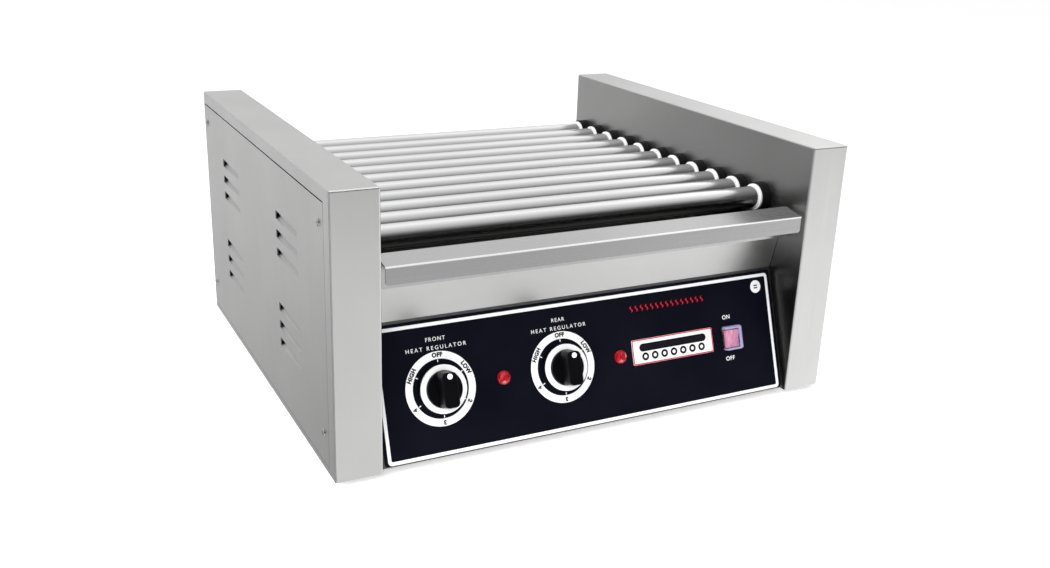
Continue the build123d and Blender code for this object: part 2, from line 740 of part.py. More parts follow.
def knob(x):
    """A control knob: round skirt, raised centre and a tall grip bar, with its regulator shaft."""
    skirt = panel_cylinder(KNOB_RADIUS, 1.5, 7.0)
    skirt += panel_cylinder(KNOB_RING_INNER - 0.1, 7.0, 12.0)
    outline = RectangleRounded(GRIP_WIDTH, GRIP_LENGTH, 6.0)
    grip = Pos(0, 0, 11.0) * extrude(outline, amount=KNOB_HEIGHT - 11.0, taper=3)
    grip = fillet(grip.edges().group_by(Axis.Z)[-1], 1.2)
    body = skirt + grip - panel_cylinder(SHAFT_RADIUS, 0, 9)
    shaft = panel_cylinder(SHAFT_RADIUS, -12, 9)
    return on_panel(body, x, CONTROL_S), on_panel(shaft, x, CONTROL_S)


def knob_ring(x):
    ring = panel_ring(KNOB_RING_OUTER, KNOB_RING_INNER, 7.0, 9.4)
    ring = fillet(ring.edges().group_by(Axis.Z)[-1], 0.6)
    return on_panel(ring, x, CONTROL_S)


def regulator(x):
    """An energy regulator: its case behind the panel and the threaded neck through it."""
    case = panel_box(38, 42, -36, -SHEET - 3)
    neck = panel_cylinder(5.0, -SHEET - 4, 1.2)
    washer = panel_cylinder(9.0, -SHEET - 3, -SHEET)
    whole = case + neck + washer - panel_cylinder(SHAFT_RADIUS + 0.05, -15, 3)
    return on_panel(whole, x, CONTROL_S)


def lamp_lens(x):
    """A lens with two tiers of eight facets on a round collar."""
    collar = panel_cylinder(7.3, OVERLAY, OVERLAY + 1.5)
    lower = Pos(0, 0, OVERLAY + 1.5) * extrude(RegularPolygon(6.8, 8), amount=2.8, taper=12)
    upper = Pos(0, 0, OVERLAY + 4.3) * extrude(RegularPolygon(6.2, 8), amount=2.4, taper=48)
    return on_panel(collar + lower + upper, x, CONTROL_S)


def lamp_holder(x):
    body = panel_cylinder(4.9, -26, OVERLAY) + panel_cylinder(8.0, -SHEET - 4, -SHEET)
    return on_panel(body, x, CONTROL_S)


def switch_body():
    """The rocker switch's bezel and case, open at the front for the rocker."""
    width, length = SWITCH_SIZE
    bezel = panel_box(width, length, OVERLAY, 3.0)
    case = panel_box(21.6, 25.2, -24, OVERLAY)
    whole = bezel + case - panel_box(18.4, 22.4, -8, 4)
    pivot = Pos(0, 0, 1.0) * Rot(0, 90, 0) * Cylinder(1.3, 19.8)
    return on_panel(whole - pivot, SWITCH_X, CONTROL_S)


def rocker():
    """The rocker, tipped to its off position about a pin across the switch."""
    points = [(-10, 5.0), (0, 3.2), (10, 5.0), (8, -3), (0, -5), (-8, -3)]
    body = slab(make_face(Polyline(*points, close=True)), -8.7, 8.7)
    pin = rod(-9.6, 9.6, 0, 0, 1.25)
    tipped = Rot(ROCKER_TILT, 0, 0) * (body + pin)
    return on_panel(tipped, SWITCH_X, CONTROL_S, 1.0)


def switch_boot():
    """The clear splash boot over the switch."""
    width, length = SWITCH_SIZE
    height = 7.8
    outer = panel_box(width - 0.6, length - 0.6, 3.0, 3.0 + height)
    outer = fillet(outer.edges().filter_by(Axis.Z) + outer.edges().group_by(Axis.Z)[-1], 3.0)
    inner = panel_box(width - 2.4, length - 2.4, 2.0, 3.0 + height - 0.9)
    inner = fillet(inner.edges().filter_by(Axis.Z) + inner.edges().group_by(Axis.Z)[-1], 2.2)
    return on_panel(outer - inner, SWITCH_X, CONTROL_S)


def badge_plate():
    plate = extrude(RectangleRounded(106.3, 27.5, 1.5), amount=0.7)
    return on_panel(plate, BADGE_X, BADGE_S, OVERLAY)


def build_controls():
    for place, x in zip(("front", "rear"), KNOB_X):
        save(f"{place}_knob", *knob(x))
        save(f"{place}_knob_ring", knob_ring(x))
    save("heat_regulators", *[regulator(x) for x in KNOB_X])
    save("pilot_lamp_lenses", *[lamp_lens(x) for x in LAMP_X])
    save("pilot_lamp_holders", *[lamp_holder(x) for x in LAMP_X])
    save("switch_housing", switch_body())
    save("switch_rocker", rocker())
    save("switch_boot", switch_boot())
    save("badge_plate", badge_plate())


os.makedirs("parts", exist_ok=True)
build_casing()
build_middle()
build_rollers()
build_drive()
build_controls()
print("nodes:", len(parts))
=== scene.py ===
"""Looks of the hot dog roller grill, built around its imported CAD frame. Metres, +Z up."""
import json
import math

import bmesh
import bpy
from mathutils import Matrix, Vector


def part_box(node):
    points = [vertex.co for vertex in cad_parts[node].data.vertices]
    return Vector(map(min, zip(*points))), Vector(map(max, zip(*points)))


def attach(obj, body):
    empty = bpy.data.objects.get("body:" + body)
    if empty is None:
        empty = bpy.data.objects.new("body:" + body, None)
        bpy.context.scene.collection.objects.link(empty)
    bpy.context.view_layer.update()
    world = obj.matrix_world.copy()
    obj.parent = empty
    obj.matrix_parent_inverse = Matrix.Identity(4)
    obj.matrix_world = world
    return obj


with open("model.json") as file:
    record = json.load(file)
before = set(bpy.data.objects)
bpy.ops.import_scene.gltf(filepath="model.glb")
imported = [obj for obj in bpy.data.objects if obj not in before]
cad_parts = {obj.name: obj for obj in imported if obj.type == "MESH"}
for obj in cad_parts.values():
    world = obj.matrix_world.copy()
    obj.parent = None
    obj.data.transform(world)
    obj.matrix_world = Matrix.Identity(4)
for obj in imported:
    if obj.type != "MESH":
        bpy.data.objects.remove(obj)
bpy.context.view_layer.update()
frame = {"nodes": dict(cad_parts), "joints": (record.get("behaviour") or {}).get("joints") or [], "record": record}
nodes = frame["nodes"]
scene = bpy.context.scene
MM = 0.001


# ---------------------------------------------------------------- the control panel's own frame

PANEL_LEAN = math.radians(19.67)
overlay_low, overlay_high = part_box("control_overlay")
UP_SLOPE = Vector((0, math.sin(PANEL_LEAN), math.cos(PANEL_LEAN)))
OUT = Vector((0, -math.cos(PANEL_LEAN), math.sin(PANEL_LEAN)))
OVERLAY_THICKNESS = 0.5 * MM
BADGE_THICKNESS = 0.7 * MM
PANEL_FOOT = Vector((0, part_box("front_fascia")[0].y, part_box("front_fascia")[0].z))


def joint_point(name):
    """The place of a joint in the frame."""
    joint = next(j for j in frame["joints"] if j["name"] == name)
    return Vector(joint["pos_m"])


def slope_of(point):
    """How far a point lies up the panel's slope from its foot."""
    return (point - PANEL_FOOT).dot(UP_SLOPE)


CONTROL_S = slope_of(joint_point("front_knob_turn"))
FRONT_DIAL_X = joint_point("front_knob_turn").x
REAR_DIAL_X = joint_point("rear_knob_turn").x


def panel_matrix(x, s, height):
    """Placement on the panel: local X across, local Y up the slope, local Z out of its face."""
    across = Vector((1, 0, 0))
    place = PANEL_FOOT + across * x + UP_SLOPE * s + OUT * height
    turn = Matrix((across, UP_SLOPE, OUT)).transposed().to_4x4()
    return Matrix.Translation(place) @ turn


# ---------------------------------------------------------------- node helpers

def new_material(name):
    material = bpy.data.materials.new(name)
    material.use_nodes = True
    return material, material.node_tree.nodes["Principled BSDF"]


# The part of a noise texture's range that is stretched over a whole tone or roughness range.
NOISE_LOW = 0.3
NOISE_HIGH = 0.7


class NodeTree:
    """A short way to add nodes to the world or to a material."""

    def __init__(self, tree):
        self.tree = tree

    def add(self, kind, **settings):
        node = self.tree.nodes.new(kind)
        for key, value in settings.items():
            setattr(node, key, value)
        return node

    def link(self, source, target):
        self.tree.links.new(source, target)

    def calculate(self, operation, *values):
        """The result of a Math node; each value is a number or another node's output."""
        node = self.add("ShaderNodeMath", operation=operation)
        for socket, value in zip(node.inputs, values):
            if isinstance(value, (int, float)):
                socket.default_value = value
            else:
                self.link(value, socket)
        return node.outputs["Value"]


class Nodes(NodeTree):
    """The nodes of one material."""

    def __init__(self, name):
        self.material, self.shader = new_material(name)
        super().__init__(self.material.node_tree)

    def coordinates(self, scale):
        """Object-space coordinates in metres, times a scale along each axis."""
        source = self.add("ShaderNodeTexCoord")
        mapping = self.add("ShaderNodeMapping")
        mapping.inputs["Scale"].default_value = scale
        self.link(source.outputs["Object"], mapping.inputs["Vector"])
        return mapping.outputs["Vector"]

    def noise(self, scale=(1, 1, 1), size=1.0, detail=3.0, roughness=0.5):
        """Noise fixed to the object; a higher scale makes it finer along that axis."""
        noise = self.add("ShaderNodeTexNoise")
        noise.inputs["Scale"].default_value = size
        noise.inputs["Detail"].default_value = detail
        noise.inputs["Roughness"].default_value = roughness
        self.link(self.coordinates(scale), noise.inputs["Vector"])
        return noise.outputs["Fac"]

    def spread(self, value, low, high):
        """Map a noise value onto a range."""
        node = self.add("ShaderNodeMapRange")
        node.inputs["From Min"].default_value = NOISE_LOW
        node.inputs["From Max"].default_value = NOISE_HIGH
        node.inputs["To Min"].default_value = low
        node.inputs["To Max"].default_value = high
        self.link(value, node.inputs["Value"])
        return node.outputs["Result"]

    def blend_colours(self, value, colour_a, colour_b):
        """colour_a where value is 0 and colour_b where it is 1."""
        mix = self.add("ShaderNodeMix", data_type="RGBA")
        mix.inputs[6].default_value = (*colour_a, 1)
        mix.inputs[7].default_value = (*colour_b, 1)
        self.link(value, mix.inputs[0])
        return mix.outputs[2]

    def place(self, axis):
        """The object-space coordinate along X, Y or Z, in metres."""
        source = self.add("ShaderNodeTexCoord")
        split = self.add("ShaderNodeSeparateXYZ")
        self.link(source.outputs["Object"], split.inputs[0])
        return split.outputs[axis]

    def step_between(self, value, start, end):
        """0 where value is at start and 1 where it is at end, eased between them."""
        node = self.add("ShaderNodeMapRange", interpolation_type="SMOOTHSTEP")
        node.inputs["From Min"].default_value = start
        node.inputs["From Max"].default_value = end
        self.link(value, node.inputs["Value"])
        return node.outputs["Result"]

    def tint(self, colour, mask, tone):
        """The colour, turned towards tone where the mask is 1."""
        mix = self.add("ShaderNodeMix", data_type="RGBA")
        self.link(mask, mix.inputs[0])
        self.link(colour, mix.inputs[6])
        mix.inputs[7].default_value = (*tone, 1)
        return mix.outputs[2]

    def bump(self, value, strength, distance):
        bump = self.add("ShaderNodeBump")
        bump.inputs["Strength"].default_value = strength
        bump.inputs["Distance"].default_value = distance
        self.link(value, bump.inputs["Height"])
        self.link(bump.outputs["Normal"], self.shader.inputs["Normal"])

    def set(self, **values):
        """Set the shader's own sockets; an underscore stands for a space in a socket's name."""
        for key, value in values.items():
            self.shader.inputs[key.replace("_", " ")].default_value = value


# ---------------------------------------------------------------- camera, stage and lights

CAMERA_PLACE = (-0.5695, -1.1559, 0.5419)
CAMERA_YAW = 0.4825
CAMERA_PITCH = 0.3411
CAMERA_ROLL = 0.0370
CAMERA_LENS = 37.75


def make_camera():
    """A plain camera at the angle of the front left view."""
    forward = Vector((
        math.sin(CAMERA_YAW) * math.cos(CAMERA_PITCH),
        math.cos(CAMERA_YAW) * math.cos(CAMERA_PITCH),
        -math.sin(CAMERA_PITCH),
    ))
    level = Vector((math.cos(CAMERA_YAW), -math.sin(CAMERA_YAW), 0))
    upright = level.cross(forward)
    right = math.cos(CAMERA_ROLL) * level + math.sin(CAMERA_ROLL) * upright
    up = math.cos(CAMERA_ROLL) * upright - math.sin(CAMERA_ROLL) * level
    data = bpy.data.cameras.new("camera")
    data.sensor_fit = "HORIZONTAL"
    data.sensor_width = 36.0
    data.lens = CAMERA_LENS
    camera = bpy.data.objects.new("camera", data)
    turn = Matrix((right, up, -forward)).transposed().to_4x4()
    camera.matrix_world = Matrix.Translation(CAMERA_PLACE) @ turn
    scene.collection.objects.link(camera)
    scene.camera = camera


def area_light(name, place, target, size, power):
    data = bpy.data.lights.new(name, "AREA")
    data.shape = "RECTANGLE"
    data.size, data.size_y = size
    data.energy = power
    light = bpy.data.objects.new(name, data)
    direction = Vector(target) - Vector(place)
    turn = direction.to_track_quat("-Z", "Y").to_matrix().to_4x4()
    light.matrix_world = Matrix.Translation(place) @ turn
    scene.collection.objects.link(light)
    return light


# How bright the studio looks in a mirror, by the way it is tilted: 0 degrees is level to the front,
# 90 straight up, 180 level to the back, and below 0 under the front edge of the counter.
STUDIO_BANDS = (
    (-180, 0.73),
    (-165, 0.76),
    (-150, 0.38),
    (-90, 0.80),
    (-45, 0.97),
    (-22, 1.02),
    (-10, 0.55),
    (-2, 0.03),
    (12, 0.012),
    (26, 0.09),
    (36, 0.20),
    (46, 0.36),
    (58, 0.52),
    (75, 0.66),
    (92, 0.84),
    (110, 1.03),
    (125, 1.03),
    (145, 0.88),
    (162, 0.76),
    (180, 0.66),
)
# And by how far it faces left (-1) or right (1).
STUDIO_SIDES = (
    (-1.0, 0.88),
    (-0.84, 0.84),
    (-0.72, 0.08),
    (-0.56, 0.06),
    (-0.485, 1.75),
    (-0.30, 1.00),
    (0.0, 1.0),
    (0.50, 1.0),
    (0.65, 1.50),
    (1.0, 1.50),
)
BAND_SCALE = 1.25
DOME_BRIGHTNESS = 0.72
BACKDROP_WHITE = 1.0


def choose(n, switch, value_off, value_on):
    """value_off where switch is 0 and value_on where it is 1."""
    kept = n.calculate("MULTIPLY", value_off, n.calculate("SUBTRACT", 1.0, switch))
    return n.calculate("ADD", kept, n.calculate("MULTIPLY", value_on, switch))


def graded(n, value, stops):
    """Brightness divided by BAND_SCALE, blended along value between (place, brightness) stops."""
    ramp_node = n.add("ShaderNodeValToRGB")
    ramp = ramp_node.color_ramp
    for index, (place, brightness) in enumerate(stops):
        if index >= len(ramp.elements):
            ramp.elements.new(place)
        level = brightness / BAND_SCALE
        ramp.elements[index].position = place
        ramp.elements[index].color = (level, level, level, 1)
    n.link(value, ramp_node.inputs["Fac"])
    return ramp_node.outputs["Color"]


def make_world():
    """White behind the object, an even dome on matt surfaces, and a graded studio in glossy ones."""
    world = bpy.data.worlds.new("studio")
    scene.world = world
    world.use_nodes = True
    world.cycles.sampling_method = "NONE"
    n = NodeTree(world.node_tree)
    axes = n.add("ShaderNodeSeparateXYZ")
    n.link(n.add("ShaderNodeTexCoord").outputs["Generated"], axes.inputs[0])
    backward = n.calculate("MULTIPLY", axes.outputs["Y"], -1.0)
    tilt = n.calculate("ARCTAN2", axes.outputs["Z"], backward)
    turned = n.calculate("MULTIPLY_ADD", tilt, 1 / (2 * math.pi), 0.5)
    bands = graded(n, turned, [(degrees / 360 + 0.5, level) for degrees, level in STUDIO_BANDS])
    across = n.calculate("MULTIPLY_ADD", axes.outputs["X"], 0.5, 0.5)
    sides = graded(n, across, [(x / 2 + 0.5, level) for x, level in STUDIO_SIDES])
    mirrored = n.calculate("MULTIPLY", n.calculate("MULTIPLY", bands, sides), BAND_SCALE ** 2)
    path = n.add("ShaderNodeLightPath")
    seen = choose(n, path.outputs["Is Glossy Ray"], DOME_BRIGHTNESS, mirrored)
    seen = choose(n, path.outputs["Is Camera Ray"], seen, BACKDROP_WHITE)
    n.link(seen, n.tree.nodes["Background"].inputs["Color"])


def make_floor():
    mesh = bpy.data.meshes.new("floor")
    half = 6.0
    corners = [(-half, -half, 0), (half, -half, 0), (half, half, 0), (-half, half, 0)]
    mesh.from_pydata(corners, [], [(0, 1, 2, 3)])
    floor = bpy.data.objects.new("floor", mesh)
    scene.collection.objects.link(floor)
    floor.visible_glossy = False
    material, shader = new_material("studio_floor")
    shader.inputs["Base Color"].default_value = (0.86, 0.86, 0.86, 1)
    shader.inputs["Roughness"].default_value = 1.0
    shader.inputs["Specular IOR Level"].default_value = 0.0
    shader.inputs["Emission Color"].default_value = (1, 1, 1, 1)
    shader.inputs["Emission Strength"].default_value = 0.36
    mesh.materials.append(material)


def make_lights():
    """Soft boxes that model the matt pieces; the metal mirrors only the studio."""
    lights = (
        area_light("key", (-1.1, -1.6, 1.5), (0.0, 0.0, 0.15), (1.2, 1.2), 24),
        area_light("top", (0.3, -0.3, 2.2), (0.0, 0.0, 0.2), (1.6, 1.6), 10),
        area_light("side", (-1.6, -0.3, 1.0), (0.2, 0.0, 0.2), (1.0, 1.0), 34),
    )
    for light in lights:
        light.visible_glossy = False


# ---------------------------------------------------------------- materials

# How fine the grain of a brushed sheet is along X, Y and Z, by the axis that it runs along.
GRAIN_SCALE = {
    "X": (6, 900, 900),
    "Y": (900, 6, 900),
    "Z": (900, 900, 6),
}
GRAIN_STRENGTH = 0.06
CLOUD_CONTRAST = 0.04

# Painted shade on the inner walls deepens between these two heights.
UNDER_ROLLERS_TOP = 212 * MM
UNDER_ROLLERS_BOTTOM = 148 * MM
# How far into its sheet the inner wall's painted shade reaches.
INNER_WALL_DEPTH = 0.5 * MM
# On the tray, heights are from its lowest edge and depths from its front.
LEDGE_TOP = 30.5 * MM
LEDGE_DEPTH = 26.4 * MM
LIP_DEPTH = 0.8 * MM
# Behind the ledge the painted shade lightens between these two depths.
TRAY_SHADE_FADES = 150 * MM
TRAY_SHADE_FADED = 290 * MM


def steel_grain(name, tone, roughness, grain):
    """Stainless sheet: fine straight grain, and faint clouds from handling; its colour isn't linked."""
    n = Nodes(name)
    n.set(Metallic=1.0)
    streaks = n.noise(GRAIN_SCALE[grain], detail=4.0, roughness=0.6)
    clouds = n.noise(size=7.0, detail=3.0)
    light = tuple(c * (1 + CLOUD_CONTRAST) for c in tone)
    dark = tuple(c * (1 - CLOUD_CONTRAST) for c in tone)
    n.link(n.spread(streaks, roughness - 0.04, roughness + 0.05), n.shader.inputs["Roughness"])
    n.bump(streaks, GRAIN_STRENGTH, 0.0002)
    return n, n.blend_colours(n.spread(clouds, 0, 1), dark, light)


def brushed_steel(name, tone, roughness, grain):
    """Plain stainless sheet for the pieces that nothing has marked."""
    n, colour = steel_grain(name, tone, roughness, grain)
    n.link(colour, n.shader.inputs["Base Color"])
    return n.material


# Mask for the painted highlights along sheet bends.
def bend_highlight_mask(n, y, z, bend_y, bend_z, reach):
    """1 along a bend that runs across the object, fading out at the given reach from its corner."""
    along = n.calculate("POWER", n.calculate("SUBTRACT", y, bend_y), 2.0)
    above = n.calculate("POWER", n.calculate("SUBTRACT", z, bend_z), 2.0)
    distance = n.calculate("SQRT", n.calculate("ADD", along, above))
    return n.step_between(distance, reach, 0.55 * reach)


def casing_steel(tone):
    """The housings' sheet: a painted highlight along its front top bend, and painted shade on its inner walls,
    deepest under the rollers.
    """
    n, colour = steel_grain("casing_steel", tone, 0.36, "Z")
    low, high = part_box("right_housing")
    x, y, z = n.place("X"), n.place("Y"), n.place("Z")
    wall_start = low.x + INNER_WALL_DEPTH + 0.2 * MM
    wall_end = low.x + INNER_WALL_DEPTH - 0.2 * MM
    inward = n.step_between(n.calculate("ABSOLUTE", x), wall_start, wall_end)
    under = n.step_between(z, UNDER_ROLLERS_TOP, UNDER_ROLLERS_BOTTOM)
    # Painted shade: the inner wall faces a little darker all over, and nearly black below the rollers.
    inner_wall_shade = n.calculate("MULTIPLY", inward, n.calculate("MULTIPLY_ADD", under, 0.73, 0.20))
    # Painted highlight: the front top bend turned pale and less metallic.
    casing_bend_highlight = n.calculate("MULTIPLY", bend_highlight_mask(n, y, z, low.y, high.z, 1.5 * MM), 0.6)
    colour = n.tint(colour, inner_wall_shade, (0.05, 0.05, 0.05))
    n.link(n.tint(colour, casing_bend_highlight, (0.52, 0.52, 0.52)), n.shader.inputs["Base Color"])
    n.link(n.calculate("SUBTRACT", 1.0, casing_bend_highlight), n.shader.inputs["Metallic"])
    return n.material


def side_panel_steel(tone):
    """The side panels' sheet, with painted shade on the sloping sides of the louvres."""
    n, colour = steel_grain("side_panel_steel", tone, 0.37, "Z")
    source = n.add("ShaderNodeTexCoord")
    split = n.add("ShaderNodeSeparateXYZ")
    n.link(source.outputs["Normal"], split.inputs[0])
    facing = n.calculate("ABSOLUTE", split.outputs["X"])
    # Painted shade on faces turned away from the panel's plane, such as the louvres' sloping sides.
    louvre_shade = n.calculate("MULTIPLY", n.step_between(facing, 0.9998, 0.985), 0.40)
    n.link(n.tint(colour, louvre_shade, (0.30, 0.30, 0.30)), n.shader.inputs["Base Color"])
    return n.material


def tray_steel(tone):
    """The tray: a painted highlight along its front bend, painted shade on its lip's front face, and near-black
    painted shade behind its ledge that lightens in patches towards the rear.
    """
    n, colour = steel_grain("tray_steel", tone, 0.26, "X")
    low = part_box("drip_tray")[0]
    y, z = n.place("Y"), n.place("Z")
    # Painted highlight along the front bend.
    tray_bend_highlight = bend_highlight_mask(n, y, z, low.y, low.z + LEDGE_TOP, 1.7 * MM)
    # Painted shade: the lip's front face darkened.
    lip_face = n.step_between(y, low.y + LIP_DEPTH + 0.5 * MM, low.y + LIP_DEPTH)
    lip_shade = n.calculate("MULTIPLY", lip_face, 0.7)
    # Painted shade behind the ledge, near black, lightening in random patches towards the rear; thickness is its
    # strength.
    patches = n.spread(n.noise(size=16.0, detail=4.0), 0.25, 0.75)
    shade_fading = n.step_between(y, low.y + TRAY_SHADE_FADES, low.y + TRAY_SHADE_FADED)
    shade_lifted = n.calculate("MULTIPLY", shade_fading, patches)
    thickness = n.calculate("SUBTRACT", 0.94, shade_lifted)
    behind = n.step_between(y, low.y + LEDGE_DEPTH, low.y + LEDGE_DEPTH + 0.5 * MM)
    shade_behind_ledge = n.calculate("MULTIPLY", behind, thickness)
    colour = n.tint(colour, lip_shade, (0.34, 0.34, 0.34))
    colour = n.tint(colour, tray_bend_highlight, (0.96, 0.96, 0.95))
    n.link(n.tint(colour, shade_behind_ledge, (0.02, 0.018, 0.016)), n.shader.inputs["Base Color"])
    return n.material


def moulded_plastic(name, tone, roughness, grain=0.08, specular=0.5):
    """Moulded plastic with a fine spark-eroded texture."""
    n = Nodes(name)
    speckle = n.noise(size=1400.0, detail=2.0)
    clouds = n.noise(size=25.0, detail=2.0)
    dark = tuple(c * 0.92 for c in tone)
    n.link(n.blend_colours(n.spread(clouds, 0, 1), dark, tone), n.shader.inputs["Base Color"])
    n.link(n.spread(clouds, roughness - 0.04, roughness + 0.04), n.shader.inputs["Roughness"])
    n.set(Specular_IOR_Level=specular)
    n.bump(speckle, grain, 0.0001)
    return n.material


def roller_steel():
    """Polished tube with fine rings left by centreless grinding."""
    n = Nodes("roller_steel")
    n.set(Metallic=1.0)
    rings = n.noise((700, 2, 2), detail=4.0)
    wear = n.noise((3, 30, 30), detail=3.0)
    n.link(
        n.blend_colours(n.spread(wear, 0, 1), (0.80, 0.80, 0.81), (0.88, 0.88, 0.88)),
        n.shader.inputs["Base Color"],
    )
    n.link(n.spread(rings, 0.17, 0.23), n.shader.inputs["Roughness"])
    n.bump(rings, 0.03, 0.0001)
    return n.material


def printed_overlay():
    """Satin polycarbonate overlay, printed dark navy on its back."""
    n = Nodes("overlay_print")
    clouds = n.noise(size=12.0, detail=3.0)
    texture = n.noise(size=2200.0, detail=1.0)
    n.link(
        n.blend_colours(n.spread(clouds, 0, 1), (0.0026, 0.0031, 0.0072), (0.0040, 0.0047, 0.0105)),
        n.shader.inputs["Base Color"],
    )
    n.link(n.spread(clouds, 0.30, 0.36), n.shader.inputs["Roughness"])
    n.set(Specular_IOR_Level=0.14)
    n.bump(texture, 0.03, 0.0001)
    return n.material


def ink(name, tone):
    """Screen ink, a little uneven."""
    n = Nodes(name)
    clouds = n.noise(size=60.0, detail=2.0)
    dark = tuple(c * 0.95 for c in tone)
    n.link(n.blend_colours(n.spread(clouds, 0, 1), dark, tone), n.shader.inputs["Base Color"])
    n.link(n.spread(clouds, 0.42, 0.5), n.shader.inputs["Roughness"])
    n.set(Specular_IOR_Level=0.15)
    return n.material


def spun_silver():
    """Bright satin ring with the round tool marks of spinning."""
    n = Nodes("knob_ring_silver")
    n.set(Metallic=0.1)
    grain = n.noise(size=260.0, detail=3.0)
    n.link(
        n.blend_colours(n.spread(grain, 0, 1), (0.95, 0.95, 0.96), (1.0, 1.0, 1.0)),
        n.shader.inputs["Base Color"],
    )
    n.link(n.spread(grain, 0.30, 0.40), n.shader.inputs["Roughness"])
    n.bump(grain, 0.02, 0.0001)
    return n.material


def red_lens():
    """Deep red glass, darker in its depth, whose facets catch the sky."""
    n = Nodes("lens_red")
    swirl = n.noise(size=220.0, detail=2.0)
    n.link(
        n.blend_colours(n.spread(swirl, 0, 1), (0.34, 0.002, 0.008), (0.80, 0.014, 0.030)),
        n.shader.inputs["Base Color"],
    )
    n.link(n.spread(swirl, 0.05, 0.10), n.shader.inputs["Roughness"])
    n.set(Transmission_Weight=0.2, IOR=2.0, Coat_Weight=1.0, Coat_IOR=2.2, Coat_Roughness=0.04)
    return n.material


def rocker_red():
    """Translucent rose rocker with paler streaks from moulding, and a faint painted glow."""
    n = Nodes("rocker_red")
    streaks = n.noise((240, 60, 60), detail=2.0)
    n.link(
        n.blend_colours(n.spread(streaks, 0, 1), (0.86, 0.16, 0.32), (0.97, 0.58, 0.74)),
        n.shader.inputs["Base Color"],
    )
    n.link(n.spread(streaks, 0.22, 0.32), n.shader.inputs["Roughness"])
    # Painted glow: a faint pink emission brightens the rocker.
    n.set(Emission_Color=(0.92, 0.30, 0.48, 1), Emission_Strength=0.25)
    return n.material


BOOT_RIM_SIDE = 5.6 * MM
BOOT_RIM_END = 10.4 * MM
BOOT_RIM_FADE = 1.2 * MM


def clear_boot():
    """Soft clear vinyl with a faint haze, and a painted highlight: pale violet and less clear along its +X side
    and its two ends.
    """
    n = Nodes("boot_clear")
    low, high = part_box("switch_boot")
    haze = n.noise(size=160.0, detail=2.0)
    off_centre = n.calculate("SUBTRACT", n.place("X"), (low.x + high.x) / 2)
    slope_y = n.calculate("MULTIPLY", n.place("Y"), UP_SLOPE.y)
    slope_z = n.calculate("MULTIPLY", n.place("Z"), UP_SLOPE.z)
    up_slope = n.calculate("ADD", slope_y, slope_z)
    middle = ((low + high) / 2).dot(UP_SLOPE)
    off_middle = n.calculate("ABSOLUTE", n.calculate("SUBTRACT", up_slope, middle))
    # Painted highlight: the +X side and the two ends turned pale violet and less clear.
    rim_x = n.step_between(off_centre, BOOT_RIM_SIDE, BOOT_RIM_SIDE + BOOT_RIM_FADE)
    rim_s = n.step_between(off_middle, BOOT_RIM_END, BOOT_RIM_END + BOOT_RIM_FADE)
    rim_highlight = n.calculate("MAXIMUM", rim_x, rim_s)
    colour = n.blend_colours(n.spread(haze, 0, 1), (0.90, 0.86, 0.93), (0.97, 0.95, 1.0))
    n.link(n.tint(colour, rim_highlight, (0.48, 0.46, 0.76)), n.shader.inputs["Base Color"])
    clear = n.calculate("SUBTRACT", 0.96, n.calculate("MULTIPLY", rim_highlight, 0.60))
    n.link(clear, n.shader.inputs["Transmission Weight"])
    n.link(n.spread(haze, 0.06, 0.16), n.shader.inputs["Roughness"])
    n.set(IOR=1.3)
    return n.material


def heated_sheath():
    """Element sheath with the bronze and blue of heated steel."""
    n = Nodes("element_sheath")
    n.set(Metallic=0.9)
    bands = n.noise((14, 60, 60), detail=2.0)
    n.link(
        n.blend_colours(n.spread(bands, 0, 1), (0.16, 0.11, 0.07), (0.13, 0.14, 0.19)),
        n.shader.inputs["Base Color"],
    )
    n.link(n.spread(bands, 0.38, 0.55), n.shader.inputs["Roughness"])
    n.bump(bands, 0.05, 0.0002)
    return n.material


def oiled_steel(name, tone, roughness):
    """Small machined steel with a thin film of oil gathered in patches."""
    n = Nodes(name)
    n.set(Metallic=0.95)
    patches = n.noise(size=120.0, detail=3.0)
    dark = tuple(c * 0.6 for c in tone)
    n.link(n.blend_colours(n.spread(patches, 0, 1), dark, tone), n.shader.inputs["Base Color"])
    n.link(n.spread(patches, roughness - 0.1, roughness + 0.12), n.shader.inputs["Roughness"])
    n.bump(patches, 0.08, 0.0002)
    return n.material


def foot_rubber():
    """Dull black rubber with a coarse grain."""
    n = Nodes("foot_rubber")
    grain = n.noise(size=700.0, detail=3.0)
    n.link(
        n.blend_colours(n.spread(grain, 0, 1), (0.012, 0.012, 0.012), (0.022, 0.022, 0.022)),
        n.shader.inputs["Base Color"],
    )
    n.link(n.spread(grain, 0.72, 0.9), n.shader.inputs["Roughness"])
    n.bump(grain, 0.2, 0.0002)
    return n.material


